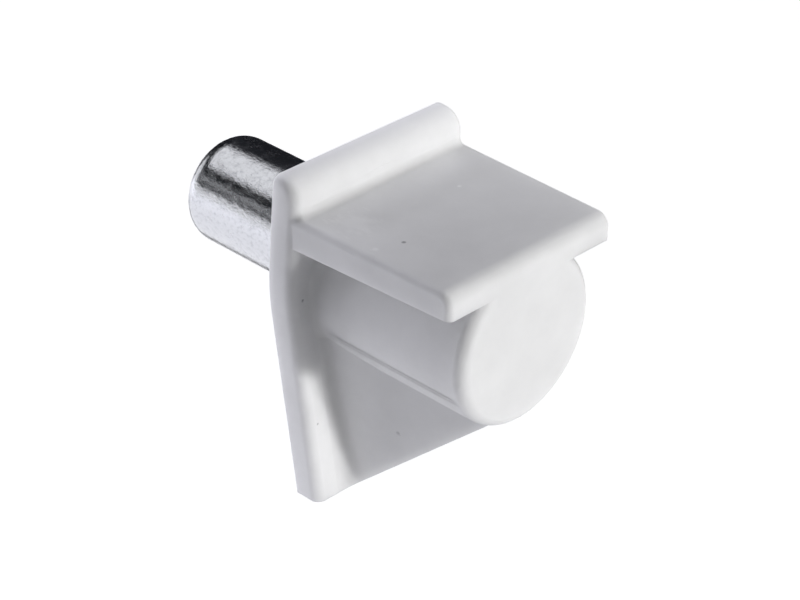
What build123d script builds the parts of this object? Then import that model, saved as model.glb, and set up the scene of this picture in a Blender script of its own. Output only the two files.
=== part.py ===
"""Shelf support pin: a moulded ledge with a steel pin set into its boss, sizes in millimetres.

The origin is where the pin's axis meets the wall plane, at the back of the plate.
The pin points along -X into the cabinet side, the ledge reaches along +X, and +Z is up.
"""
import math
import os

from build123d import *

os.makedirs("parts", exist_ok=True)

# Steel pin: a plain round stretch outside, a straight-knurled stretch inside the boss
pin_diameter = 5.0
pin_reach = 8.55
pin_end_radius = 1.1
knurl_setback = 0.15
knurl_height = 0.25
knurl_tooth_count = 24

# Back plate, widest at the waist near the pin's axis
plate_thickness = 1.35
plate_top = 5.56
plate_bottom = 10.85
plate_width = 10.5
plate_waist_height = 0.3
plate_top_inset = 0.24
plate_foot_inset = 1.86
plate_waist_radius = 12.0
plate_top_edge_radius = 1.0
plate_side_edge_radius = 0.45
plate_back_edge_radius = 0.08

# Ledge that carries the shelf
ledge_top = 4.03
ledge_front = 9.74
ledge_root_thickness = 1.39
ledge_front_thickness = 1.19
ledge_side_inset = 0.02
ledge_front_inset = 0.2
ledge_side_edge_radius = 0.3
ledge_nose_radius = 0.65
ledge_cove_radius = 0.35

# Boss round the pin
boss_diameter = 7.88
boss_rim_radius = 0.5
boss_root_radius = 0.4
boss_end_wall = 1.6

# Gusset under the boss, flared where it leaves the plate
gusset_root_width = 7.6
gusset_foot_width = 2.44
gusset_front_width = 4.9
gusset_front_foot_width = 0.1
gusset_root_flare = 0.35
gusset_foot_flare = 0.9
gusset_tip_share = 0.93

overrun = 1.0

pin_radius = pin_diameter / 2
knurl_radius = pin_radius + knurl_height
shank_end = ledge_front - boss_end_wall
boss_radius = boss_diameter / 2
boss_rim_start = ledge_front - boss_rim_radius
plate_half_width = plate_width / 2
plate_top_half_width = plate_half_width - plate_top_inset
plate_foot_half_width = plate_half_width - plate_foot_inset
plate_core = (plate_thickness - plate_side_edge_radius) / 2
ledge_height_share = (ledge_top - plate_waist_height) / (plate_top - plate_waist_height)
ledge_root_half_width = plate_half_width - plate_top_inset * ledge_height_share - ledge_side_inset
ledge_front_half_width = ledge_root_half_width - ledge_front_inset


# Steel pin
knurl_points = []
for tooth in range(knurl_tooth_count):
    crest_angle = 2 * math.pi * tooth / knurl_tooth_count
    root_angle = crest_angle + math.pi / knurl_tooth_count
    knurl_points.append((knurl_radius * math.cos(crest_angle), knurl_radius * math.sin(crest_angle)))
    knurl_points.append((pin_radius * math.cos(root_angle), pin_radius * math.sin(root_angle)))

with BuildPart() as steel_pin:
    with BuildSketch(Plane.YZ.offset(-pin_reach)):
        Circle(pin_radius)
    extrude(amount=pin_reach + knurl_setback)
    fillet(steel_pin.edges().sort_by(Axis.X)[0], radius=pin_end_radius)
    with BuildSketch(Plane.YZ.offset(knurl_setback)):
        with BuildLine():
            Polyline(*knurl_points, close=True)
        make_face()
    extrude(amount=shank_end - knurl_setback)
steel_pin.part.label = "steel_pin"
export_step(steel_pin.part, "parts/steel_pin.step")


# Ledge: its section with a rounded nose and a rising underside, trimmed to its outline from above
with BuildPart() as ledge:
    with BuildSketch(Plane.XZ) as ledge_section:
        with BuildLine():
            Polyline(
                (plate_core, ledge_top - ledge_root_thickness),
                (ledge_front, ledge_top - ledge_front_thickness),
                (ledge_front, ledge_top),
                (plate_core, ledge_top),
                close=True,
            )
        make_face()
        nose = ledge_section.vertices().group_by(Axis.X)[-1].sort_by(Axis.Y)[-1]
        fillet(nose, radius=ledge_nose_radius)
    extrude(amount=plate_width, both=True)
    with BuildSketch(Plane.XY) as plan:
        with BuildLine():
            Polyline(
                (plate_core, -ledge_root_half_width),
                (ledge_front, -ledge_front_half_width),
                (ledge_front, ledge_front_half_width),
                (plate_core, ledge_root_half_width),
                close=True,
            )
        make_face()
    extrude(amount=ledge_top + overrun, mode=Mode.INTERSECT)
    side_faces = ledge.faces().sort_by(Axis.Y)
    top_side_edges = [face.edges().sort_by(Axis.Z)[-1] for face in (side_faces[0], side_faces[-1])]
    fillet(top_side_edges, radius=ledge_side_edge_radius)

# Gusset: plan outlines at the pin's axis and at the plate's foot, joined, then cut off below on a slant
with BuildPart() as gusset:
    for height, root_width, front_width, flare in (
        (0, gusset_root_width, gusset_front_width, gusset_root_flare),
        (-plate_bottom, gusset_foot_width, gusset_front_foot_width, gusset_foot_flare),
    ):
        with BuildSketch(Plane.XY.offset(height)) as gusset_plan:
            with BuildLine():
                Polyline(
                    (plate_thickness, root_width / 2 + flare),
                    (plate_core, root_width / 2 + flare),
                    (plate_core, -root_width / 2 - flare),
                    (plate_thickness, -root_width / 2 - flare),
                )
                RadiusArc(
                    (plate_thickness, -root_width / 2 - flare),
                    (plate_thickness + flare, -root_width / 2),
                    flare,
                )
                Polyline(
                    (plate_thickness + flare, -root_width / 2),
                    (boss_rim_start, -front_width / 2),
                    (boss_rim_start, front_width / 2),
                    (plate_thickness + flare, root_width / 2),
                )
                RadiusArc(
                    (plate_thickness + flare, root_width / 2),
                    (plate_thickness, root_width / 2 + flare),
                    flare,
                )
            make_face()
    loft(ruled=True)
    with BuildSketch(Plane.XZ):
        with BuildLine():
            Polyline(
                (plate_thickness, -plate_bottom),
                (boss_rim_start, -boss_radius * gusset_tip_share),
                (boss_rim_start + overrun, -boss_radius * gusset_tip_share),
                (boss_rim_start + overrun, -plate_bottom - overrun),
                (plate_thickness, -plate_bottom - overrun),
                close=True,
            )
        make_face()
    extrude(amount=plate_width, both=True, mode=Mode.SUBTRACT)

# Moulded body: the plate with its outline softened, then ledge, boss and gusset
with BuildPart() as support_body:
    with BuildSketch(Plane.YZ) as outline:
        with BuildLine():
            Polyline(
                (-plate_foot_half_width, -plate_bottom),
                (plate_foot_half_width, -plate_bottom),
                (plate_half_width, plate_waist_height),
                (plate_top_half_width, plate_top),
                (-plate_top_half_width, plate_top),
                (-plate_half_width, plate_waist_height),
                close=True,
            )
        make_face()
        fillet(outline.vertices().group_by(Axis.Y)[1], radius=plate_waist_radius)
    extrude(amount=plate_thickness)
    with BuildSketch(Plane.XZ) as plate_section:
        with BuildLine():
            Polyline(
                (0, -plate_bottom),
                (plate_thickness, -plate_bottom),
                (plate_thickness, plate_top),
                (0, plate_top),
                close=True,
            )
        make_face()
        top_front = plate_section.vertices().group_by(Axis.X)[-1].sort_by(Axis.Y)[-1]
        fillet(top_front, radius=plate_top_edge_radius)
    extrude(amount=plate_width, both=True, mode=Mode.INTERSECT)
    waist_edges = support_body.faces().sort_by(Axis.X)[-1].edges().sort_by(Axis.Y)
    fillet([waist_edges[0], waist_edges[-1]], radius=plate_side_edge_radius)
    fillet(support_body.faces().sort_by(Axis.X)[0].edges(), radius=plate_back_edge_radius)

    add(ledge.part)
    seam = support_body.edges().filter_by_position(Axis.X, plate_core, plate_thickness)
    seam = seam.filter_by_position(Axis.Z, ledge_top, ledge_top)
    fillet(seam, radius=ledge_cove_radius)

    with BuildSketch(Plane.XZ) as boss_section:
        with BuildLine():
            Polyline(
                (plate_core, 0),
                (plate_core, boss_radius + 2 * boss_root_radius),
                (plate_thickness, boss_radius + 2 * boss_root_radius),
                (plate_thickness, boss_radius),
                (ledge_front, boss_radius),
                (ledge_front, 0),
                close=True,
            )
        make_face()
        fillet(boss_section.vertices().group_by(Axis.X)[-1].sort_by(Axis.Y)[-1], radius=boss_rim_radius)
        fillet(boss_section.vertices().group_by(Axis.X)[1].sort_by(Axis.Y)[0], radius=boss_root_radius)
    revolve(axis=Axis.X)

    add(gusset.part)
    add(steel_pin.part, mode=Mode.SUBTRACT)
support_body.part.label = "support_body"
export_step(support_body.part, "parts/support_body.step")
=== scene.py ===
# %% [markdown]
# # A shelf support pin
# This lesson dresses a small shelf support: a white moulded body with a bright steel pin in it.
# The solid model comes from CAD, and already has the real shape down to its rounded edges.
# What is left for Blender is what the eye reads next: the finish of each material,
# the light and the view.

# %% Load the solid model
import itertools
import math

import bmesh
import bpy
from mathutils import Matrix, Vector


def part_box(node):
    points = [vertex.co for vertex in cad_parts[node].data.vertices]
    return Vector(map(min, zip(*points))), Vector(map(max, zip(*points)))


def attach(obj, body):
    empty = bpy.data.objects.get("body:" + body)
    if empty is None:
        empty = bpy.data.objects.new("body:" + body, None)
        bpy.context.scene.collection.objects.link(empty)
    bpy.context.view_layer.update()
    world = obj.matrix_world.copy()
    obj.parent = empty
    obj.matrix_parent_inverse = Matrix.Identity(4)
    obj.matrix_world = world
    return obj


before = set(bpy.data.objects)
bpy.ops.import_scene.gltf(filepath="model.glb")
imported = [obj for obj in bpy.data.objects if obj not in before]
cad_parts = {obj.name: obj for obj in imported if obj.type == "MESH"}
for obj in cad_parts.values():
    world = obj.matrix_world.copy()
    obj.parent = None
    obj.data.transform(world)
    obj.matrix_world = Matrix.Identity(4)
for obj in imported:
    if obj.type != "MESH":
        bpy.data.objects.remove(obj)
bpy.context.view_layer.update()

MM = 0.001
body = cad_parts["support_body"]
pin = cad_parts["steel_pin"]
body_low, body_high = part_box("support_body")
pin_low, pin_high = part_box("steel_pin")
print("body, mm:", [round(v / MM, 2) for v in body_high - body_low])
print("pin, mm:", [round(v / MM, 2) for v in pin_high - pin_low])

# %% [markdown]
# ## The view
# The picture was taken from the ledge's side and from above, with a lens long enough to keep
# the edges nearly parallel. A camera can be turned by angles or by three axes.
# Three axes are used here: to the right, up and back. They come from the azimuth and elevation,
# and a small roll about the line of sight tips the horizon as in the picture.

# %% Camera
AZIMUTH = math.radians(42.65)
ELEVATION = math.radians(31.2)
ROLL = math.radians(2.15)
DISTANCE = 110.4 * MM
AIM = Vector((2.34, 0.31, -1.49)) * MM
LENS = 117.0
SENSOR_WIDTH = 36.0
CLIP_NEAR, CLIP_FAR = MM, 10.0

back = Vector((
    math.sin(AZIMUTH) * math.cos(ELEVATION),
    -math.cos(AZIMUTH) * math.cos(ELEVATION),
    math.sin(ELEVATION),
))
level_right = Vector((math.cos(AZIMUTH), math.sin(AZIMUTH), 0))
level_up = back.cross(level_right)
right = level_right * math.cos(ROLL) + level_up * math.sin(ROLL)
up = back.cross(right)

bpy.ops.object.camera_add(location=AIM + back * DISTANCE)
camera = bpy.context.object
camera.name = "camera"
camera.rotation_euler = Matrix((right, up, back)).transposed().to_euler()
camera.data.lens = LENS
camera.data.sensor_width = SENSOR_WIDTH
camera.data.clip_start = CLIP_NEAR
camera.data.clip_end = CLIP_FAR
bpy.context.scene.camera = camera
bpy.context.scene.view_settings.view_transform = "Standard"
print("camera at, mm:", [round(v / MM, 1) for v in camera.location])

# %% [markdown]
# ## Floor and surroundings
# A part this small is photographed on a white table inside a white tent.
# The floor is plain and pale. It lies well below the part, which hangs in the air from its pin.
# The picture's background is pure white. Lighting the floor until it is white would burn out
# the part too, so the floor glows, but only for the camera and for mirror-like surfaces.
# The tent does the same: it is white to look at and in reflections, and lights nothing else.

# %% Floor and world
FLOOR_DROP = 30 * MM
FLOOR_SIZE = 3.0
FLOOR_COLOUR = (0.82, 0.82, 0.82, 1)
FLOOR_GLOW = 0.75
TENT_COLOUR = (1, 1, 1, 1)


def add_math(owner, operation, *terms):
    """One step of arithmetic on sockets and plain numbers, in a material or a world."""
    node = owner.node_tree.nodes.new("ShaderNodeMath")
    node.operation = operation
    for socket, term in zip(node.inputs, terms):
        if isinstance(term, (int, float)):
            socket.default_value = term
        else:
            owner.node_tree.links.new(term, socket)
    return node.outputs[0]


def seen_directly(owner):
    """A value that is 1 for rays from the camera and from mirror-like or clear surfaces."""
    path = owner.node_tree.nodes.new("ShaderNodeLightPath")
    camera_ray, glossy_ray, clear_ray = (
        path.outputs[name] for name in ("Is Camera Ray", "Is Glossy Ray", "Is Transmission Ray")
    )
    return add_math(owner, "MAXIMUM", add_math(owner, "MAXIMUM", camera_ray, glossy_ray), clear_ray)


bpy.ops.mesh.primitive_plane_add(size=FLOOR_SIZE, location=(0, 0, body_low.z - FLOOR_DROP))
floor = bpy.context.object
floor.name = "floor"
floor_paint = bpy.data.materials.new("floor_paint")
floor_paint.use_nodes = True
nodes, links = floor_paint.node_tree.nodes, floor_paint.node_tree.links
nodes.clear()
matt = nodes.new("ShaderNodeBsdfDiffuse")
matt.inputs["Color"].default_value = FLOOR_COLOUR
glow = nodes.new("ShaderNodeEmission")
glow_level = add_math(floor_paint, "MULTIPLY", seen_directly(floor_paint), FLOOR_GLOW)
links.new(glow_level, glow.inputs["Strength"])
both = nodes.new("ShaderNodeAddShader")
links.new(matt.outputs[0], both.inputs[0])
links.new(glow.outputs[0], both.inputs[1])
out = nodes.new("ShaderNodeOutputMaterial")
links.new(both.outputs[0], out.inputs["Surface"])
floor.data.materials.append(floor_paint)

world = bpy.data.worlds.new("white_tent")
bpy.context.scene.world = world
world.use_nodes = True
tent = world.node_tree.nodes["Background"]
tent.inputs["Color"].default_value = TENT_COLOUR
world.node_tree.links.new(seen_directly(world), tent.inputs["Strength"])
print("floor at, mm:", round(floor.location.z / MM, 1))

# %% [markdown]
# ## Light
# The faces that look along the ledge are the brightest. The top and the left side are dimmer
# and alike. So the main light is a small soft box that stands low in front of the ledge,
# a little to its right. It lights the strip of plate beside the gusset, while the ledge
# and the boss keep the corner above it dark.
# A second box hangs overhead. A third stands behind the plate, and its light only grazes
# the boss and the gusset.
# Three small cards stand close by, as a photographer would hold them: because they are near,
# their light fades along the part. Two brighten the ledge towards its upstand and its right end,
# and one fills the shadows from below.

# %% Lamps
NEUTRAL = (1.0, 1.0, 1.0)
COOL = (0.975, 0.975, 1.06)


def soft_box(name, azimuth, elevation, distance, size, level, colour):
    """A square lamp that faces the part. A white card in its light would be seen at that level."""
    a, e = math.radians(azimuth), math.radians(elevation)
    towards = Vector((math.cos(a) * math.cos(e), math.sin(a) * math.cos(e), math.sin(e)))
    bpy.ops.object.light_add(type="AREA", location=towards * distance)
    lamp = bpy.context.object
    lamp.name = name
    lamp.rotation_euler = towards.to_track_quat("Z", "Y").to_euler()
    lamp.data.size = size
    lamp.data.energy = level * math.pi**2 * distance**2
    lamp.data.color = colour
    lamp.visible_camera = False
    lamp.visible_glossy = False
    print(name, "energy, W:", round(lamp.data.energy, 3))


soft_box("front_box", azimuth=13.5, elevation=3, distance=0.5, size=0.05, level=0.87, colour=NEUTRAL)
soft_box("back_box", azimuth=180, elevation=70, distance=0.4, size=0.2, level=0.12, colour=COOL)
soft_box("rear_box", azimuth=-157, elevation=13, distance=0.4, size=0.2, level=0.58, colour=COOL)
soft_box("back_card", azimuth=170, elevation=65, distance=0.02, size=0.012, level=0.28, colour=COOL)
soft_box("right_card", azimuth=80, elevation=45, distance=0.03, size=0.02, level=0.28, colour=NEUTRAL)
soft_box("low_card", azimuth=-110, elevation=-40, distance=0.045, size=0.03, level=0.30, colour=COOL)

# %% [markdown]
# ## Flags
# A polished cylinder shows its surroundings as bands along its length.
# In an all-white tent it would look like paper.
# Photographers stand black cards, called flags, beside the metal to give it dark bands.
# These flags are seen in reflections only, so that they don't take light from the plastic.
# The narrow strip on the floor below the pin is no flag: it is a painted shadow, a black card
# standing in for the part's own shadow on the floor as the pin reflects it.

# %% Flags
# One black serves the flags and the painted floor shadow.
FLAG_AND_SHADOW_BLACK = (0.012, 0.013, 0.016, 1)

flag_and_shadow_black = bpy.data.materials.new("flag_and_shadow_black")
flag_and_shadow_black.use_nodes = True
cloth = flag_and_shadow_black.node_tree.nodes["Principled BSDF"]
cloth.inputs["Base Color"].default_value = FLAG_AND_SHADOW_BLACK
cloth.inputs["Roughness"].default_value = 1.0


def flag(name, middle, size):
    """A flat black card, in millimetres, seen in reflections only."""
    bpy.ops.mesh.primitive_cube_add(size=1, location=Vector(middle) * MM)
    card = bpy.context.object
    card.name = name
    card.scale = Vector(size) * MM
    card.data.materials.append(flag_and_shadow_black)
    card.visible_camera = False
    card.visible_diffuse = False
    card.visible_shadow = False
    print(name, "size, mm:", size)


flag("flag_behind", middle=(-140, 81, 70), size=(360, 2, 220))
flag("flag_beside", middle=(-80, -81, 83), size=(280, 2, 70))
flag("flag_beside_low", middle=(-80, -81, 28), size=(280, 2, 24))
flag("flag_end_high", middle=(-150, 0, 84), size=(2, 180, 72))
flag("flag_end_side", middle=(-150, 53, 4), size=(2, 76, 88))
# Painted shadow: a black strip on the floor that stands in for the part's own shadow there, seen only
# in the pin.
flag("painted_floor_shadow", middle=(-30, 15, -40), size=(120, 10, 1))

# %% [markdown]
# ## Grain
# No real surface is perfectly even. The mould leaves a faint grain on the plastic,
# and the bath mottles the plating. Both can be made from the same noise, so the noise goes into
# a node group that each material calls with its own scale.
# The group works in the part's own coordinates, so the grain stays with the part
# wherever it is placed.

# %% Grain group
NOISE_DETAIL = 4.0
NOISE_ROUGHNESS = 0.6

grain = bpy.data.node_groups.new("grain", "ShaderNodeTree")
grain.interface.new_socket("Scale", in_out="INPUT", socket_type="NodeSocketFloat")
grain.interface.new_socket("Stretch", in_out="INPUT", socket_type="NodeSocketVector")
grain.interface.new_socket("Value", in_out="OUTPUT", socket_type="NodeSocketFloat")
nodes, links = grain.nodes, grain.links
group_in = nodes.new("NodeGroupInput")
group_out = nodes.new("NodeGroupOutput")
place = nodes.new("ShaderNodeTexCoord")
stretch = nodes.new("ShaderNodeVectorMath")
stretch.operation = "MULTIPLY"
noise = nodes.new("ShaderNodeTexNoise")
noise.inputs["Detail"].default_value = NOISE_DETAIL
noise.inputs["Roughness"].default_value = NOISE_ROUGHNESS
links.new(place.outputs["Object"], stretch.inputs[0])
links.new(group_in.outputs["Stretch"], stretch.inputs[1])
links.new(stretch.outputs[0], noise.inputs["Vector"])
links.new(group_in.outputs["Scale"], noise.inputs["Scale"])
links.new(noise.outputs["Fac"], group_out.inputs["Value"])
print("grain group:", [item.name for item in grain.interface.items_tree])

# %% [markdown]
# ## Small tools for the materials
# Each of these adds one node to a material and hands back its result, so that a material
# can be written as a few short lines.

# %% Node helpers


def add_grain(material, per_mm, stretched=(1, 1, 1)):
    """The grain's value in a material, with so many blotches to the millimetre."""
    node = material.node_tree.nodes.new("ShaderNodeGroup")
    node.node_tree = grain
    node.inputs["Scale"].default_value = per_mm / MM
    node.inputs["Stretch"].default_value = stretched
    return node.outputs["Value"]


def add_range(material, value, low, high, to_low, to_high):
    """Map a value from one range to another, clamped."""
    node = material.node_tree.nodes.new("ShaderNodeMapRange")
    for socket, number in zip(node.inputs[1:5], (low, high, to_low, to_high)):
        socket.default_value = number
    material.node_tree.links.new(value, node.inputs[0])
    return node.outputs[0]


def add_mix(material, share, first, second):
    """A colour between two colours, each a socket or four plain numbers."""
    node = material.node_tree.nodes.new("ShaderNodeMix")
    node.data_type = "RGBA"
    material.node_tree.links.new(share, node.inputs["Factor"])
    for socket, colour in ((node.inputs["A"], first), (node.inputs["B"], second)):
        if isinstance(colour, tuple):
            socket.default_value = colour
        else:
            material.node_tree.links.new(colour, socket)
    return node.outputs["Result"]


def add_bump(material, height, depth, strength, below=None):
    """Raise the surface where the height is 1, by a depth in millimetres."""
    node = material.node_tree.nodes.new("ShaderNodeBump")
    node.inputs["Strength"].default_value = strength
    node.inputs["Distance"].default_value = depth * MM
    material.node_tree.links.new(height, node.inputs["Height"])
    if below is not None:
        material.node_tree.links.new(below, node.inputs["Normal"])
    return node.outputs["Normal"]


print("helpers:", [tool.__name__ for tool in (add_grain, add_range, add_mix, add_bump)])

# %% [markdown]
# ## White plastic
# The body is moulded in white plastic. Its skin is smooth but not polished,
# so its sheen is broad and soft. Light sinks about a millimetre into it and comes out again
# nearby, which softens its edges and shadows. The white isn't quite even, so broad soft blotches
# shade it by a hair, and a fine grain roughens it.

# %% White plastic
PLASTIC_WHITES = ((0.75, 0.75, 0.75, 1), (0.79, 0.79, 0.79, 1))
SCATTER_SHARE = 0.7
SCATTER_RADIUS = (1.0, 1.0, 1.0)
SCATTER_DEPTH = 1.2 * MM

plastic = bpy.data.materials.new("white_plastic_skin")
plastic.use_nodes = True
nodes, links = plastic.node_tree.nodes, plastic.node_tree.links
skin = nodes["Principled BSDF"]
skin.inputs["Subsurface Weight"].default_value = SCATTER_SHARE
skin.inputs["Subsurface Radius"].default_value = SCATTER_RADIUS
skin.inputs["Subsurface Scale"].default_value = SCATTER_DEPTH

patches = add_grain(plastic, per_mm=0.7)
sheen = add_range(plastic, patches, low=0.3, high=0.7, to_low=0.32, to_high=0.46)
links.new(sheen, skin.inputs["Roughness"])
fine_grain = add_bump(plastic, add_grain(plastic, per_mm=6.0), depth=0.01, strength=0.15)
links.new(fine_grain, skin.inputs["Normal"])
broad = add_grain(plastic, per_mm=0.4)
blotch = add_range(plastic, broad, low=0.35, high=0.65, to_low=0, to_high=1)
clean_white = add_mix(plastic, blotch, *PLASTIC_WHITES)
body.material_slots[0].material = plastic
print("plastic on", body.name)

# %% [markdown]
# ## Marks and a painted highlight
# Handling has left a few dark specks and light scuffs. One broad light patch on the ledge top,
# by the upstand, is a painted highlight: it stands for the light that the bright upstand throws
# onto the ledge. Each is a ball in space with a ragged edge: where the skin passes through it,
# it takes the mark's colour.
# A mark is given by its middle and its radius in millimetres, its strength and its colour.

# %% Marks and a painted highlight
DIRT = (0.08, 0.08, 0.09, 1)
# White for the small scuffs and for the painted highlight on the ledge.
SCUFF_AND_PAINTED_HIGHLIGHT = (0.95, 0.95, 0.95, 1)
MARK_CORE = 0.4
MARKS = [
    ((5.56, -3.08, 4.03), 0.10, 0.6, DIRT),
    ((1.35, -3.51, -6.54), 0.08, 0.5, DIRT),
    ((1.35, -4.53, 0.06), 0.09, 0.5, DIRT),
    ((1.40, -3.75, -0.76), 0.09, 0.3, DIRT),
    ((4.54, -1.85, -6.18), 0.16, 0.3, DIRT),
    ((3.91, 1.95, 4.03), 0.11, 0.7, SCUFF_AND_PAINTED_HIGHLIGHT),
    ((5.16, -4.32, 4.03), 0.16, 0.5, SCUFF_AND_PAINTED_HIGHLIGHT),
    # Painted highlight: a broad soft light patch on the ledge top by the upstand's left end, for the
    # light that the bright upstand throws onto the ledge.
    ((3.20, -3.40, 4.03), 0.95, 0.35, SCUFF_AND_PAINTED_HIGHLIGHT),
]

colour = clean_white
place = nodes.new("ShaderNodeTexCoord")
edge_grain = add_grain(plastic, per_mm=3.0, stretched=(0.5, 1, 1))
ragged = add_range(plastic, edge_grain, low=0.3, high=0.7, to_low=0.5, to_high=1.5)
for middle, radius, strength, mark_colour in MARKS:
    apart = nodes.new("ShaderNodeVectorMath")
    apart.operation = "DISTANCE"
    apart.inputs[1].default_value = Vector(middle) * MM
    links.new(place.outputs["Object"], apart.inputs[0])
    reach = add_math(plastic, "MULTIPLY", apart.outputs["Value"], ragged)
    edge = radius * MM
    mark = add_range(plastic, reach, low=MARK_CORE * edge, high=edge, to_low=strength, to_high=0)
    colour = add_mix(plastic, mark, colour, mark_colour)
links.new(colour, skin.inputs["Base Color"])
print("marks:", len(MARKS))

# %% [markdown]
# ## Parting ridge
# The halves of the mould meet along the boss, a little below its middle. Plastic creeps into
# that joint and leaves a pair of fine ridges on each side of the boss, about a hundredth
# of a millimetre high and never quite even.
# A ridge is a shape, not a colour, so each is a thin strip of mesh: two feet sunk in the skin
# and a crest between them. The crest's height wavers along the boss, and falls to nothing
# at the ends.

# %% Parting ridge
BOSS_RADIUS = 3.94 * MM
RIDGE_ANGLES = (math.radians(25), math.radians(28.5))
RIDGE_SPAN = (1.9 * MM, 9.2 * MM)
RIDGE_WIDTH = 0.17 * MM
RIDGE_HEIGHT = 0.011 * MM
RIDGE_SINK = 0.015 * MM
RIDGE_STATIONS = 49
RIDGE_TAPER = 8
RIDGE_WAVES = ((0.9, 0.3), (2.3, 0.2))


def ridge_section(share, side, middle):
    """Foot, crest and foot of a ridge at a share of its length."""
    taper = min(1.0, RIDGE_TAPER * share, RIDGE_TAPER * (1 - share))
    waver = 1 - sum(
        size * (0.5 + 0.5 * math.sin(rate * share * RIDGE_STATIONS)) for rate, size in RIDGE_WAVES
    )
    x = RIDGE_SPAN[0] + share * (RIDGE_SPAN[1] - RIDGE_SPAN[0])
    half_angle = RIDGE_WIDTH / 2 / BOSS_RADIUS
    for turn, radius in (
        (-half_angle, BOSS_RADIUS - RIDGE_SINK),
        (0, BOSS_RADIUS + RIDGE_HEIGHT * taper * waver),
        (half_angle, BOSS_RADIUS - RIDGE_SINK),
    ):
        angle = middle + turn
        yield Vector((x, side * radius * math.cos(angle), -radius * math.sin(angle)))


strip = bmesh.new()
shares = [i / (RIDGE_STATIONS - 1) for i in range(RIDGE_STATIONS)]
for side, middle in itertools.product((-1, 1), RIDGE_ANGLES):
    rings = [
        [strip.verts.new(point) for point in ridge_section(share, side, middle)]
        for share in shares
    ]
    for here, there in zip(rings, rings[1:]):
        for i in range(len(here)):
            strip.faces.new((here[i - 1], here[i], there[i], there[i - 1]))
    strip.faces.new(rings[0])
    strip.faces.new(rings[-1])
bmesh.ops.recalc_face_normals(strip, faces=strip.faces)
ridge_mesh = bpy.data.meshes.new("parting_ridge")
strip.to_mesh(ridge_mesh)
strip.free()
ridge = bpy.data.objects.new("parting_ridge", ridge_mesh)
bpy.context.scene.collection.objects.link(ridge)
ridge.data.materials.append(plastic)
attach(ridge, "root")
print("ridges on both sides, faces:", len(ridge_mesh.polygons))

# %% [markdown]
# ## Plated steel
# The pin is steel with a thin bright zinc plating. The plating is a mirror, but not an even one:
# the bath leaves fine lighter and darker blotches, and the drawing of the wire leaves
# faint streaks along the pin. The blotches change the colour and the roughness.
# Three layers of small bumps break the edges of the reflections.

# %% Plated steel
ZINC_GREYS = ((0.54, 0.55, 0.59, 1), (0.65, 0.66, 0.70, 1))

plating = bpy.data.materials.new("bright_plating")
plating.use_nodes = True
links = plating.node_tree.links
metal = plating.node_tree.nodes["Principled BSDF"]
metal.inputs["Metallic"].default_value = 1.0

blotches = add_grain(plating, per_mm=2.2)
polish = add_range(plating, blotches, low=0.35, high=0.7, to_low=0.10, to_high=0.30)
links.new(polish, metal.inputs["Roughness"])
mottle = add_grain(plating, per_mm=6.0, stretched=(0.8, 1, 1))
greys = add_range(plating, mottle, low=0.30, high=0.50, to_low=0, to_high=1)
links.new(add_mix(plating, greys, *ZINC_GREYS), metal.inputs["Base Color"])

dents = add_bump(plating, add_grain(plating, per_mm=1.6), depth=0.03, strength=0.5)
pits = add_bump(plating, add_grain(plating, per_mm=7.0), depth=0.016, strength=0.7, below=dents)
drawn = add_grain(plating, per_mm=5.0, stretched=(0.4, 1, 1))
streaks = add_bump(plating, drawn, depth=0.015, strength=0.5, below=pits)
links.new(streaks, metal.inputs["Normal"])
pin.material_slots[0].material = plating
print("plating on", pin.name)
